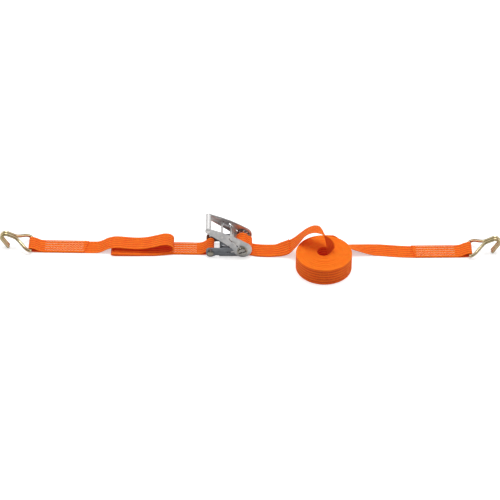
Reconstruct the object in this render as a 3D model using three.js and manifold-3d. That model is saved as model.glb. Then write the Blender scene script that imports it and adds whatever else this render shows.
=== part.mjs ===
// Ratchet tie down for 50 mm webbing: ratchet buckle, short fixed strap, long rolled strap and
// two double-J wire hooks, laid out on a flat surface. Millimetres, +X along the straps, +Y across
// them, +Z up. The origin is the bottom centre of the whole object's bounding box.
import * as THREE from 'three';
import { mergeVertices } from 'three/addons/utils/BufferGeometryUtils.js';
import Module from 'manifold-3d';

// Webbing
const WEBBING_WIDTH = 50;
const WEBBING_THICKNESS = 2.4;
const GAP = 0.3;
const LAYER_PITCH = WEBBING_THICKNESS + GAP;

// Ratchet: the drum axis runs along Y through this point
const AXIS_X = -21;
const AXIS_Y = 2;
const AXIS_Z = 22;

// Half-widths of the ratchet's layers, measured from its centre plane outwards
const WHEEL_INNER = 26;
const WHEEL_OUTER = 29;
const FRAME_INNER = 29.3;
const FRAME_OUTER = 31.8;
const HANDLE_INNER = 32.1;
const HANDLE_OUTER = 34.6;
const WASHER_INNER = 34.9;
const WASHER_OUTER = 36.1;
const DRUM_HALF_LENGTH = 41;

// Drum and wheels
const DRUM_RADIUS = 10.8;
const DRUM_SLOT = 3.6;
const DRUM_SLOT_ANGLE = 20;
const DRUM_HOLE_RADIUS = 11.2;
const PACK_RADIUS = 17.5;
const WASHER_RADIUS = 14.5;
const TOOTH_COUNT = 12;
const TOOTH_TIP_RADIUS = 21.8;
const TOOTH_ROOT_RADIUS = 16.8;
const TOOTH_FACE_ANGLE = 136.5;
const COTTER_RADIUS = 1.4;
const COTTER_Y = 38.6;
const COTTER_EYE_RADIUS = 2.6;

// Frame bracket
const FRAME_END_RADIUS = 21.7;
const FRAME_TOP = 8;
const FRAME_BOTTOM = -17;
const WEB_BOTTOM = -19;
const WEB_LEFT = -62;
const WEB_RIGHT = -26;
const BOLT_X = -86.5;
const BOLT_Z = -9.8;
const BOLT_RADIUS = 4;
const BOLT_HEAD_RADIUS = 8;
const BOLT_NUT_RADIUS = 7.2;
const EAR_RADIUS = 12;
const CORNER_RADIUS = 9;
const SLEEVE_RADIUS = 7;

// Pawls and their springs
const PAWL_THICKNESS = 3;
const PAWL_SLOT = 3.8;
const DRIVE_ANGLE = 130;
const LOCK_ANGLE = 190;
const LOCK_FRONT = 17.9;
const LOCK_REAR = 33.8;
const DRIVE_FRONT = 22.4;
const DRIVE_REAR = 46.5;
const SPRING_WIRE_RADIUS = 0.5;
const SPRING_TURNS = 6;

// Handle: outline coordinates run along the handle from the drum axis and square to it
const HANDLE_ANGLE = 34.3;
const GRIP_ALONG = 114;
const GRIP_ACROSS = 4.5;
const GRIP_RADIUS = 7.8;
const GRIP_END_RADIUS = 8.3;
const GRIP_BOLT_RADIUS = 3;
const GRIP_HEAD_RADIUS = 5;
const SPACER_ALONG = 72.4;
const SPACER_ACROSS = 8.3;
const SPACER_RADIUS = 2.75;
const SPACER_HEAD_RADIUS = 3.9;

// Hooks
const HOOK_WIRE_RADIUS = 4.5;
const HOOK_BAR_X = 598;
const HOOK_BAR_Z = 9;
const HOOK_HALF_WIDTH = 31;
const HOOK_CORNER = 6;
const LEFT_HOOK_Y = 14;
const RIGHT_HOOK_Y = -8.5;
const RIGHT_LOOP_SLOPE = 0.0123;

// Roll of spare webbing
const ROLL_X = 200;
const ROLL_Y = -74;
const ROLL_RADIUS = 74.4;
const ROLL_HOLE_Y = -69;
const ROLL_HOLE_RADIUS = 20.3;
const ROLL_HEIGHT = 50;

const FINISHES = {
  webbing: { color: 0xf07420, roughness: 0.85, metalness: 0 },
  zinc: { color: 0xa9adb3, roughness: 0.35, metalness: 0.9 },
  grip: { color: 0xe6e2de, roughness: 0.25, metalness: 0.9 },
  yellow_zinc: { color: 0xd2c08a, roughness: 0.3, metalness: 0.9 },
  spring: { color: 0xb9bcc0, roughness: 0.3, metalness: 0.9 },
};

const wasm = await Module();
wasm.setup();

const radians = THREE.MathUtils.degToRad;
const object = new THREE.Group();
const ratchet = new THREE.Group();
ratchet.position.set(AXIS_X, AXIS_Y, AXIS_Z);
object.add(ratchet);

function addPiece(parent, name, geometry, finish) {
  const piece = new THREE.Mesh(geometry, new THREE.MeshStandardMaterial(FINISHES[finish]));
  piece.name = name;
  parent.add(piece);
  return piece;
}

// Joining and cutting
function toSolid(geometry) {
  const bare = geometry.index ? geometry.clone() : geometry;
  bare.deleteAttribute('normal');
  bare.deleteAttribute('uv');
  const merged = mergeVertices(bare, 1e-5);
  return new wasm.Manifold(new wasm.Mesh({
    numProp: 3,
    vertProperties: new Float32Array(merged.attributes.position.array),
    triVerts: new Uint32Array(merged.index.array),
  }));
}

function toGeometry(solid) {
  const mesh = solid.getMesh();
  const geometry = new THREE.BufferGeometry();
  geometry.setAttribute('position', new THREE.BufferAttribute(mesh.vertProperties, 3));
  geometry.setIndex(new THREE.BufferAttribute(mesh.triVerts, 1));
  return geometry;
}

function join(...geometries) {
  const solids = geometries.map(toSolid);
  return toGeometry(solids.reduce((whole, next) => whole.add(next)));
}

function cut(geometry, ...tools) {
  return toGeometry(tools.map(toSolid).reduce((whole, tool) => whole.subtract(tool), toSolid(geometry)));
}

// Flat outlines in the X-Z plane, extruded along Y
function arc(centreX, centreZ, radius, fromDegrees, toDegrees, steps) {
  const points = [];
  for (let step = 0; step <= steps; step += 1) {
    const angle = radians(fromDegrees + (toDegrees - fromDegrees) * step / steps);
    points.push(new THREE.Vector2(centreX + radius * Math.cos(angle), centreZ + radius * Math.sin(angle)));
  }
  return points;
}

function circle(centreX, centreZ, radius, steps = 24) {
  return arc(centreX, centreZ, radius, 0, 360 - 360 / steps, steps - 1);
}

function extrudeAcross(outline, holes, nearY, farY) {
  const shape = new THREE.Shape(outline);
  shape.holes = holes.map((hole) => new THREE.Path(hole));
  const geometry = new THREE.ExtrudeGeometry(shape, { depth: farY - nearY, bevelEnabled: false });
  geometry.rotateX(Math.PI / 2);
  geometry.translate(0, farY, 0);
  return geometry;
}

function slotAlong(angleDegrees, fromRadius, toRadius, width) {
  const along = new THREE.Vector2(Math.cos(radians(angleDegrees)), Math.sin(radians(angleDegrees)));
  const across = new THREE.Vector2(-along.y, along.x).multiplyScalar(width / 2);
  const start = along.clone().multiplyScalar(fromRadius);
  const end = along.clone().multiplyScalar(toRadius);
  return [
    start.clone().sub(across),
    end.clone().sub(across),
    end.clone().add(across),
    start.clone().add(across),
  ];
}

function rodAcross(centreX, centreZ, radius, nearY, farY, sides = 20) {
  const geometry = new THREE.CylinderGeometry(radius, radius, farY - nearY, sides);
  geometry.translate(centreX, (nearY + farY) / 2, centreZ);
  return geometry;
}

function tubeAlong(curve, radius, sides, steps) {
  const section = new THREE.Shape(circle(0, 0, radius, sides));
  return new THREE.ExtrudeGeometry(section, { steps, extrudePath: curve, bevelEnabled: false });
}

// A strip of webbing seen from its edge: a centreline thickened to both sides
function smoothLine(points, steps) {
  const route = points.map(([x, z]) => new THREE.Vector3(x, 0, z));
  const curve = new THREE.CatmullRomCurve3(route, false, 'centripetal');
  return curve.getPoints(steps).map((point) => new THREE.Vector2(point.x, point.z));
}

function stripOutline(centreline, thickness) {
  const left = [];
  const right = [];
  centreline.forEach((point, index) => {
    const before = centreline[Math.max(index - 1, 0)];
    const after = centreline[Math.min(index + 1, centreline.length - 1)];
    const along = after.clone().sub(before).normalize();
    const side = new THREE.Vector2(-along.y, along.x).multiplyScalar(thickness / 2);
    left.push(point.clone().add(side));
    right.push(point.clone().sub(side));
  });
  return left.concat(right.reverse());
}

function strip(centreline) {
  const outline = stripOutline(centreline, WEBBING_THICKNESS);
  return extrudeAcross(outline, [], -WEBBING_WIDTH / 2, WEBBING_WIDTH / 2);
}

// Moves a strip sideways in proportion to X, so that it runs slightly askew
function skew(geometry, slope, atX, centreY) {
  geometry.applyMatrix4(new THREE.Matrix4().set(
    1, 0, 0, 0,
    slope, 1, 0, centreY - slope * atX,
    0, 0, 1, 0,
    0, 0, 0, 1,
  ));
  return geometry;
}

// A strip of webbing between two edge lines, for the stretches that twist. It has four steps
// between neighbouring edge points, and covers the first spans of them
const RIBBON_STEPS = 4;

function ribbon(nearEdge, farEdge, lift, spans) {
  const toCurve = (points) => new THREE.CatmullRomCurve3(
    points.map((point) => new THREE.Vector3(...point)), false, 'centripetal');
  const nearCurve = toCurve(nearEdge);
  const farCurve = toCurve(farEdge);
  const centreAt = (t) => nearCurve.getPoint(t).add(farCurve.getPoint(t)).multiplyScalar(0.5);
  const positions = [];
  const steps = spans * RIBBON_STEPS;
  for (let step = 0; step <= steps; step += 1) {
    const t = step / (RIBBON_STEPS * (nearEdge.length - 1));
    const near = nearCurve.getPoint(t);
    const far = farCurve.getPoint(t);
    const along = centreAt(Math.min(t + 0.002, 1)).sub(centreAt(Math.max(t - 0.002, 0)));
    const normal = along.cross(far.clone().sub(near)).normalize();
    for (const [edge, side] of [[near, -0.5], [far, -0.5], [far, 0.5], [near, 0.5]]) {
      const corner = edge.clone().addScaledVector(normal, lift + side * WEBBING_THICKNESS);
      positions.push(corner.x, corner.y, corner.z);
    }
  }
  const index = [0, 2, 1, 0, 3, 2];
  for (let step = 0; step < steps; step += 1) {
    for (let side = 0; side < 4; side += 1) {
      const a = step * 4 + side;
      const b = step * 4 + (side + 1) % 4;
      const underside = [a, b, b + 4, a, b + 4, a + 4];
      const elsewhere = [a, b, a + 4, b, b + 4, a + 4];
      index.push(...(side === 0 ? underside : elsewhere));
    }
  }
  const last = steps * 4;
  index.push(last, last + 1, last + 2, last, last + 2, last + 3);
  const geometry = new THREE.BufferGeometry();
  geometry.setAttribute('position', new THREE.Float32BufferAttribute(positions, 3));
  geometry.setIndex(index);
  return geometry;
}

// Frame: two side plates joined by a web underneath, folded from one sheet
function framePlate(nearY, farY) {
  const endLeft = BOLT_X - EAR_RADIUS;
  const outline = [
    ...arc(BOLT_X, BOLT_Z, EAR_RADIUS, 300, 180, 8),
    ...arc(endLeft + CORNER_RADIUS, FRAME_TOP - CORNER_RADIUS, CORNER_RADIUS, 180, 90, 5),
    new THREE.Vector2(-34, FRAME_TOP),
    ...arc(0, 0, FRAME_END_RADIUS, 169, -118.9, 28),
    new THREE.Vector2(WEB_LEFT, WEB_BOTTOM),
    new THREE.Vector2(WEB_LEFT - 2, FRAME_BOTTOM),
    new THREE.Vector2(BOLT_X + 14, FRAME_BOTTOM),
  ];
  const holes = [
    circle(0, 0, DRUM_HOLE_RADIUS),
    circle(BOLT_X, BOLT_Z, BOLT_RADIUS + GAP, 16),
    slotAlong(LOCK_ANGLE, LOCK_FRONT - 0.5, 42, PAWL_SLOT),
    [
      ...arc(BOLT_X - 2, BOLT_Z + 11, 2.2, 90, 270, 5),
      ...arc(BOLT_X + 2, BOLT_Z + 11, 2.2, -90, 90, 5),
    ],
  ];
  return extrudeAcross(outline, holes, nearY, farY);
}

function frameSpan(leftX, rightX, lowZ, highZ, halfWidth) {
  const geometry = new THREE.BoxGeometry(rightX - leftX, 2 * halfWidth, highZ - lowZ);
  geometry.translate((leftX + rightX) / 2, 0, (lowZ + highZ) / 2);
  return geometry;
}

addPiece(ratchet, 'frame', join(
  framePlate(-FRAME_OUTER, -FRAME_INNER),
  framePlate(FRAME_INNER, FRAME_OUTER),
  frameSpan(WEB_LEFT, WEB_RIGHT, WEB_BOTTOM, FRAME_BOTTOM, FRAME_INNER + 1),
  frameSpan(-58.5, -56.5, WEB_BOTTOM + 1, -4.5, 8),
), 'zinc');

// Strap bolt with its sleeve and nut, across the free end of the frame
addPiece(ratchet, 'strap_bolt', join(
  rodAcross(BOLT_X, BOLT_Z, BOLT_RADIUS, -FRAME_OUTER - 1, 37.8),
  rodAcross(BOLT_X, BOLT_Z, BOLT_HEAD_RADIUS, -36, -FRAME_OUTER - GAP),
), 'yellow_zinc');
addPiece(ratchet, 'strap_bolt_nut', cut(
  rodAcross(BOLT_X, BOLT_Z, BOLT_NUT_RADIUS, FRAME_OUTER + GAP, 37, 6),
  rodAcross(BOLT_X, BOLT_Z, BOLT_RADIUS + GAP, FRAME_OUTER - 1, 38),
), 'yellow_zinc');
addPiece(ratchet, 'bolt_sleeve', cut(
  rodAcross(BOLT_X, BOLT_Z, SLEEVE_RADIUS, -28.9, 28.9),
  rodAcross(BOLT_X, BOLT_Z, BOLT_RADIUS + GAP, -30, 30),
), 'zinc');

// Drum: two half-moon bars with a slot between them
function drumHalf(turn) {
  const flat = DRUM_SLOT / 2;
  const open = THREE.MathUtils.radToDeg(Math.asin(flat / DRUM_RADIUS));
  const outline = arc(0, 0, DRUM_RADIUS, turn + open, turn + 180 - open, 14);
  const bar = extrudeAcross(outline, [], -DRUM_HALF_LENGTH, DRUM_HALF_LENGTH);
  const pinHoles = [-COTTER_Y, COTTER_Y].map((y) => {
    const hole = new THREE.CylinderGeometry(COTTER_RADIUS + GAP, COTTER_RADIUS + GAP, 30, 12);
    hole.rotateZ(Math.PI / 2);
    hole.rotateY(-radians(turn + 90));
    hole.translate(0, y, 0);
    return hole;
  });
  return cut(bar, ...pinHoles);
}

addPiece(ratchet, 'drum_half_a', drumHalf(DRUM_SLOT_ANGLE), 'zinc');
addPiece(ratchet, 'drum_half_b', drumHalf(DRUM_SLOT_ANGLE + 180), 'zinc');

// Ratchet wheels: each tooth has a radial face on one side and a slope on the other
function wheelOutline() {
  const outline = [];
  for (let tooth = 0; tooth < TOOTH_COUNT; tooth += 1) {
    const face = TOOTH_FACE_ANGLE + tooth * 360 / TOOTH_COUNT;
    outline.push(...arc(0, 0, TOOTH_TIP_RADIUS, face, face + 5, 1));
    outline.push(...arc(0, 0, TOOTH_ROOT_RADIUS, face + 16, face + 29.5, 2));
  }
  return outline;
}

for (const [side, sign] of [['near', -1], ['far', 1]]) {
  const wheelSpan = [sign * WHEEL_INNER, sign * WHEEL_OUTER].sort((a, b) => a - b);
  const wheel = extrudeAcross(wheelOutline(), [circle(0, 0, DRUM_HOLE_RADIUS)], ...wheelSpan);
  addPiece(ratchet, `ratchet_wheel_${side}`, wheel, 'zinc');

  const washerSpan = [sign * WASHER_INNER, sign * WASHER_OUTER].sort((a, b) => a - b);
  const washer = extrudeAcross(circle(0, 0, WASHER_RADIUS), [circle(0, 0, DRUM_HOLE_RADIUS)], ...washerSpan);
  addPiece(ratchet, `drum_washer_${side}`, washer, 'yellow_zinc');

  // Cotter pin: a leg through both drum bars and a closed eye outside them
  const leg = new THREE.CylinderGeometry(COTTER_RADIUS, COTTER_RADIUS, 27, 10);
  leg.translate(0, -1.2, 0);
  const eye = new THREE.TorusGeometry(COTTER_EYE_RADIUS, COTTER_RADIUS, 8, 12);
  eye.rotateY(Math.PI / 2);
  eye.translate(0, 15.2, 0);
  const pin = join(leg, eye);
  pin.rotateZ(-Math.PI / 2);
  pin.rotateY(-radians(DRUM_SLOT_ANGLE + 90));
  pin.translate(0, sign * COTTER_Y, 0);
  addPiece(ratchet, `cotter_pin_${side}`, pin, 'yellow_zinc');
}

// Webbing wound on the drum, with the layer that passes through the slot
const packRing = extrudeAcross(
  circle(0, 0, PACK_RADIUS, 32), [circle(0, 0, DRUM_RADIUS + GAP)], -WEBBING_WIDTH / 2, WEBBING_WIDTH / 2);
const slotLayer = new THREE.BoxGeometry(2 * DRUM_RADIUS + 2, WEBBING_WIDTH, WEBBING_THICKNESS);
slotLayer.rotateY(-radians(DRUM_SLOT_ANGLE));
addPiece(ratchet, 'drum_webbing', join(packRing, slotLayer), 'webbing');

// Handle: outline points are given along the handle and square to it
function handlePoint(along, across) {
  const angle = radians(HANDLE_ANGLE);
  return new THREE.Vector2(
    -along * Math.cos(angle) + across * Math.sin(angle),
    along * Math.sin(angle) + across * Math.cos(angle),
  );
}

const HANDLE_OUTLINE = [
  ...arc(1.5, 4.4, 24.8, 78, 318, 26),
  new THREE.Vector2(26, -9.6),
  new THREE.Vector2(34, -6.8),
  new THREE.Vector2(46, -5.5),
  ...arc(GRIP_ALONG, GRIP_ACROSS, GRIP_END_RADIUS, -90, 78, 10),
  new THREE.Vector2(108, 13.9),
  new THREE.Vector2(84, 20),
  new THREE.Vector2(56, 25),
  new THREE.Vector2(30, 27.8),
].map((point) => handlePoint(point.x, point.y));
const gripCentre = handlePoint(GRIP_ALONG, GRIP_ACROSS);
const spacerCentre = handlePoint(SPACER_ALONG, SPACER_ACROSS);
const HANDLE_HOLES = [
  circle(0, 0, DRUM_HOLE_RADIUS),
  slotAlong(DRIVE_ANGLE, 19, 56.5, PAWL_SLOT),
  circle(gripCentre.x, gripCentre.y, GRIP_BOLT_RADIUS + GAP, 14),
  circle(spacerCentre.x, spacerCentre.y, SPACER_RADIUS + GAP, 14),
];
addPiece(ratchet, 'handle_plate_near',
  extrudeAcross(HANDLE_OUTLINE, HANDLE_HOLES, -HANDLE_OUTER, -HANDLE_INNER), 'zinc');
addPiece(ratchet, 'handle_plate_far',
  extrudeAcross(HANDLE_OUTLINE, HANDLE_HOLES, HANDLE_INNER, HANDLE_OUTER), 'zinc');

addPiece(ratchet, 'grip_tube', cut(
  rodAcross(gripCentre.x, gripCentre.y, GRIP_RADIUS, -FRAME_OUTER, FRAME_OUTER, 24),
  rodAcross(gripCentre.x, gripCentre.y, GRIP_BOLT_RADIUS + GAP, -33, 33),
), 'grip');
addPiece(ratchet, 'grip_bolt', join(
  rodAcross(gripCentre.x, gripCentre.y, GRIP_BOLT_RADIUS, -HANDLE_OUTER - 1, 38.4),
  rodAcross(gripCentre.x, gripCentre.y, GRIP_HEAD_RADIUS, -37.2, -HANDLE_OUTER - GAP),
), 'zinc');
addPiece(ratchet, 'grip_nut', cut(
  rodAcross(gripCentre.x, gripCentre.y, GRIP_HEAD_RADIUS, HANDLE_OUTER + GAP, 37.6, 6),
  rodAcross(gripCentre.x, gripCentre.y, GRIP_BOLT_RADIUS + GAP, HANDLE_OUTER - 1, 39),
), 'zinc');
addPiece(ratchet, 'spacer_bar', join(
  rodAcross(spacerCentre.x, spacerCentre.y, SPACER_RADIUS, -35.6, 35.6, 14),
  rodAcross(spacerCentre.x, spacerCentre.y, SPACER_HEAD_RADIUS, -36.2, -HANDLE_OUTER - GAP, 14),
  rodAcross(spacerCentre.x, spacerCentre.y, SPACER_HEAD_RADIUS, HANDLE_OUTER + GAP, 36.2, 14),
), 'zinc');

// Pawls: flat slides seen from above as an outline of radius against Y, turned to their slot's angle
function pawlPlate(outline) {
  const geometry = new THREE.ExtrudeGeometry(
    new THREE.Shape(outline.map(([radius, y]) => new THREE.Vector2(radius, y))),
    { depth: PAWL_THICKNESS, bevelEnabled: false },
  );
  geometry.translate(0, 0, -PAWL_THICKNESS / 2);
  return geometry;
}

function mirrored(halfOutline) {
  return [...halfOutline, ...halfOutline.map(([radius, y]) => [radius, -y]).reverse()];
}

const drivePlate = pawlPlate(mirrored([
  [25.6, -24],
  [DRIVE_FRONT, -24.6],
  [DRIVE_FRONT, -WHEEL_OUTER],
  [26.8, -WHEEL_OUTER],
  [26.8, -36],
  [41, -36],
  [41, -31.4],
  [DRIVE_REAR, -31.4],
]));
const drivePull = rodAcross(DRIVE_REAR, 1, 3, -31.4, 31.4, 14);
const drivePawl = join(drivePlate, drivePull);
drivePawl.rotateY(-radians(DRIVE_ANGLE));
addPiece(ratchet, 'drive_pawl', drivePawl, 'zinc');

const lockPlate = pawlPlate(mirrored([
  [20.6, -24],
  [LOCK_FRONT, -24.6],
  [LOCK_FRONT, -FRAME_OUTER],
  [LOCK_REAR - 2, -FRAME_OUTER],
  [LOCK_REAR - 2, -28.8],
  [LOCK_REAR, -28.8],
]));
const springPeg = new THREE.CylinderGeometry(1.4, 1.4, 6, 10);
springPeg.rotateZ(Math.PI / 2);
springPeg.translate(LOCK_REAR + 2.5, 0, 0);
const lockPawl = join(lockPlate, springPeg);
lockPawl.rotateY(-radians(LOCK_ANGLE));
addPiece(ratchet, 'lock_pawl', lockPawl, 'zinc');

// Compression springs: a round wire wound in a helix along X, then turned into place
class Helix extends THREE.Curve {
  constructor(length, radius, turns) {
    super();
    this.length = length;
    this.radius = radius;
    this.turns = turns;
  }

  getPoint(t, target = new THREE.Vector3()) {
    const angle = 2 * Math.PI * this.turns * t;
    return target.set(this.length * t, this.radius * Math.cos(angle), this.radius * Math.sin(angle));
  }
}

function spring(length, radius) {
  return tubeAlong(new Helix(length, radius, SPRING_TURNS), SPRING_WIRE_RADIUS, 5, SPRING_TURNS * 10);
}

const lockSpring = spring(19.6, 2.6);
lockSpring.translate(LOCK_REAR + 0.9, 0, 0);
lockSpring.rotateY(-radians(LOCK_ANGLE));
addPiece(ratchet, 'lock_spring', lockSpring, 'spring');

const pullRear = new THREE.Vector2(Math.cos(radians(DRIVE_ANGLE)), Math.sin(radians(DRIVE_ANGLE)))
  .multiplyScalar(DRIVE_REAR);
const springLine = spacerCentre.clone().sub(pullRear);
for (const [side, y] of [['near', -24], ['far', 24]]) {
  const driveSpring = spring(springLine.length() - 8.6, 2.4);
  driveSpring.translate(4.6, 0, 0);
  driveSpring.rotateY(-Math.atan2(springLine.y, springLine.x));
  driveSpring.translate(pullRear.x, y, pullRear.y);
  addPiece(ratchet, `drive_spring_${side}`, driveSpring, 'spring');
}

// Short strap: a sewn loop round the left hook, a slack double fold, a sewn loop round the bolt
const FLAT_Z = WEBBING_THICKNESS / 2 + GAP;
const SEWN_Z = FLAT_Z + WEBBING_THICKNESS - 0.05;
const hookLoopRadius = HOOK_WIRE_RADIUS + GAP + 0.1 + WEBBING_THICKNESS / 2;
const boltLoopRadius = SLEEVE_RADIUS + GAP + WEBBING_THICKNESS / 2;
const boltX = AXIS_X + BOLT_X;
const boltZ = AXIS_Z + BOLT_Z;

const shortStrapMain = [
  ...arc(-HOOK_BAR_X, HOOK_BAR_Z, hookLoopRadius, 170, 275, 9),
  ...smoothLine([
    [-586, 2.1], [-570, FLAT_Z], [-480, FLAT_Z], [-428, FLAT_Z], [-414, 2.6], [-400, 9], [-388, 16],
    [-372, 20.6], [-355, 21], [-328, 18.6], [-300, 18.2], [-275, 22], [-250, 29.2], [-233, 33.6],
    [-219, 32.2], [-209.4, 24], [-209.4, 14], [-218, 7.4], [-235, 6.6], [-255, 7], [-285, 9.6],
    [-320, 12.8], [-350, 14.4], [-366, 13.8], [-377.6, 9.4], [-377, 4.2], [-368, 1.6], [-352, FLAT_Z],
    [-250, FLAT_Z], [-136, FLAT_Z], [-122, 2],
  ], 90),
  ...arc(boltX, boltZ, boltLoopRadius, 265, 380, 9),
];
const hookReturn = [
  ...arc(-HOOK_BAR_X, HOOK_BAR_Z, hookLoopRadius, 178, 74, 9),
  ...smoothLine([[-585, 11], [-574, 5.4], [-564, SEWN_Z], [-500, SEWN_Z], [-442, SEWN_Z]], 14),
];
const boltReturn = [
  ...arc(boltX, boltZ, boltLoopRadius, 12, 118, 9),
  ...smoothLine([[-120, 12.5], [-128, 6.4], [-138, SEWN_Z], [-190, SEWN_Z], [-252, SEWN_Z]], 14),
];
// The two lower layers of the fold lie off the strap's line towards -Y: X and how far, below a height
const FOLD_MIDDLE_Z = 16;
const foldDrift = [[-384, 0], [-379, 11.4], [-306, 9.8], [-257, 8], [-225, 3], [-212, 0.6], [-190, 0]];

function driftAt(x) {
  const after = foldDrift.findIndex(([knotX]) => knotX >= x);
  if (after <= 0) return 0;
  const [lowX, low] = foldDrift[after - 1];
  const [highX, high] = foldDrift[after];
  return THREE.MathUtils.mapLinear(x, lowX, highX, low, high);
}

function driftFold(geometry) {
  const places = geometry.getAttribute('position');
  for (let index = 0; index < places.count; index += 1) {
    if (places.getZ(index) < FOLD_MIDDLE_Z) {
      places.setY(index, places.getY(index) - driftAt(places.getX(index)));
    }
  }
  return geometry;
}

const shortStrap = driftFold(join(strip(shortStrapMain), strip(hookReturn), strip(boltReturn)));
const shortStrapSlope = (AXIS_Y - LEFT_HOOK_Y) / (boltX + HOOK_BAR_X);
addPiece(object, 'short_strap', skew(shortStrap, shortStrapSlope, boltX, AXIS_Y), 'webbing');

// Long strap from the drum: the laden layer and its cut tail leave from under the drum together;
// the laden layer rises in an arch and turns on edge as it dives into the middle of the roll
const drumExit = [
  [-34, 1.8, 2.95], [-21, 1.6, 2.95], [-8, 1.2, 2.95], [2, -0.4, 2.95], [13, -3.6, 2.95],
  [24, -5.6, 2.95], [40, -6.8, 2.95], [56, -7.2, 3], [71, -7.6, 4.6],
];
const halfWidth = WEBBING_WIDTH / 2;
const exitNear = drumExit.map(([x, y, z]) => [x, y - halfWidth, z]);
const exitFar = drumExit.map(([x, y, z]) => [x, y + halfWidth, z]);
const archNear = [[83, -33, 6.6], [103, -34.6, 14.6]];
const archFar = [[83, 17, 11], [103, 14.6, 22.6]];
const overNear = [
  [120, -38.6, 35.8], [128, -40, 48.5], [138, -43, 66], [147.4, -46, 82.7], [160, -51, 96.5], [172, -57, 104],
  [187, -62, 106], [198, -65, 103.5], [205.5, -66.5, 98.8], [213, -68, 88.5], [216.5, -69, 75],
  [217.5, -71, 62], [216, -77, 54], [211.5, -83, 50.6], [203, -86.8, 50], [193, -85.5, 50], [184.5, -78, 50],
];
const overFar = [
  [121.5, 11, 38], [129, 9, 46.5], [139, 6.5, 58.5], [151, 2.5, 71.5], [164, -3, 85.3], [175, -10, 93],
  [187.8, -17.5, 95.5], [197, -24, 84], [201, -36, 66], [205, -53, 46], [208, -54, 30],
  [212, -56.5, 15], [216.5, -62, 5], [217.2, -72, 1.4], [209, -84.5, 0.3], [195, -86.2, 0.2],
  [184.5, -78, 0.2],
];
const drumClearance = rodAcross(AXIS_X, AXIS_Z, PACK_RADIUS + GAP, -40, 40, 48);
const ladenNear = [...exitNear, ...archNear, ...overNear];
const ladenFar = [...exitFar, ...archFar, ...overFar];
const tailSpans = exitNear.length + archNear.length - 1;
const ladenLayer = ribbon(ladenNear, ladenFar, -LAYER_PITCH / 2, ladenNear.length - 1);
const tailLayer = ribbon(ladenNear, ladenFar, LAYER_PITCH / 2, tailSpans);
addPiece(object, 'long_strap', cut(ladenLayer, drumClearance), 'webbing');
addPiece(object, 'long_strap_tail', cut(tailLayer, drumClearance), 'webbing');

// A slack turn of the long strap that stands off the winding on the drum's right: angle and radius
const looseTurn = smoothLine([
  [38, 18.9], [30, 19.6], [20, 20.2], [8, 20.5], [-6, 20.5], [-20, 20.1], [-34, 19.3], [-46, 18.6],
].map(([degrees, radius]) => [
  AXIS_X + radius * Math.cos(radians(degrees)), AXIS_Z + radius * Math.sin(radians(degrees)),
]), 14);
const looseStrip = strip(looseTurn).translate(0, AXIS_Y, 0);
addPiece(object, 'loose_turn', cut(looseStrip, drumClearance), 'webbing');

// Roll of spare webbing, standing on its edge
const rollShape = new THREE.Shape().absarc(ROLL_X, ROLL_Y, ROLL_RADIUS, 0, 2 * Math.PI);
rollShape.holes = [new THREE.Path().absarc(ROLL_X, ROLL_HOLE_Y, ROLL_HOLE_RADIUS, 0, 2 * Math.PI)];
const rollOptions = { depth: ROLL_HEIGHT, bevelEnabled: false, curveSegments: 28 };
const roll = new THREE.ExtrudeGeometry(rollShape, rollOptions);
addPiece(object, 'strap_roll', roll, 'webbing');

// Outer layer of the roll: leaves on edge, turns flat, and ends in a sewn loop round the right hook
const rollSide = ROLL_Y + ROLL_RADIUS + GAP + WEBBING_THICKNESS / 2;
const turnNear = [
  [ROLL_X, rollSide, 50], [215, rollSide, 50], [230, rollSide - 1.4, 49.4], [243, -8, 44], [260, -20.6, 33],
  [278, -24.4, 22.6], [300, -25.9, 14.6], [322, -26.8, 7.2], [340, -27.4, 3], [358, -27.9, 1.6],
  [385, -31, FLAT_Z], [415, -33.8, FLAT_Z], [443, -35.4, FLAT_Z], [470, -35.1, FLAT_Z],
];
const turnFar = [
  [ROLL_X, rollSide, 0.2], [215, rollSide, 0.2], [230, rollSide + 1.4, 0.4], [243, 9.6, 1.2],
  [260, 18.4, 1.7], [278, 21.4, 1.6], [300, 22.2, 1.5], [322, 22.5, 1.6], [340, 22.4, 1.6],
  [358, 22, 1.6], [385, 19, FLAT_Z],
  [415, 16.2, FLAT_Z], [443, 14.6, FLAT_Z], [470, 14.9, FLAT_Z],
];
const hookLoop = [
  ...smoothLine([[450, FLAT_Z], [520, FLAT_Z], [570, FLAT_Z], [586, 2.1]], 8),
  ...arc(HOOK_BAR_X, HOOK_BAR_Z, hookLoopRadius, -95, 10, 9),
];
const hookLoopReturn = [
  ...arc(HOOK_BAR_X, HOOK_BAR_Z, hookLoopRadius, 2, 106, 9),
  ...smoothLine([[585, 11], [574, 5.4], [564, SEWN_Z], [500, SEWN_Z], [443, SEWN_Z]], 14),
];
const rightLoop = join(strip(hookLoop), strip(hookLoopReturn));
skew(rightLoop, RIGHT_LOOP_SLOPE, HOOK_BAR_X, RIGHT_HOOK_Y);
const turn = ribbon(turnNear, turnFar, 0, turnNear.length - 1);
addPiece(object, 'long_strap_end', join(turn, rightLoop), 'webbing');

// Hooks: one wire bent into a base bar, two legs that close up side by side, and two J tips
function hookHalf(sign) {
  const legFoot = [HOOK_CORNER, sign * HOOK_HALF_WIDTH, HOOK_BAR_Z + 3.4];
  const shoulder = [41, sign * 5.2, 34.4];
  const bend = arc(68, 35, 12, 121.5, -31.5, 12).map((point) => [point.x, sign * 4.8, point.y]);
  const tip = [[70.25, sign * 4.8, 15.65], [62.3, sign * 4.8, 2.6]];
  const corner = [[0, sign * (HOOK_HALF_WIDTH - HOOK_CORNER), HOOK_BAR_Z],
    [1.6, sign * (HOOK_HALF_WIDTH - 1.6), HOOK_BAR_Z + 1]];
  const leg = [[13, sign * 29.2, HOOK_BAR_Z + 8], [24, sign * 19, 23.8], [33, sign * 10.4, 29.4]];
  return [...corner, legFoot, ...leg, shoulder, ...bend, ...tip];
}

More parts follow.
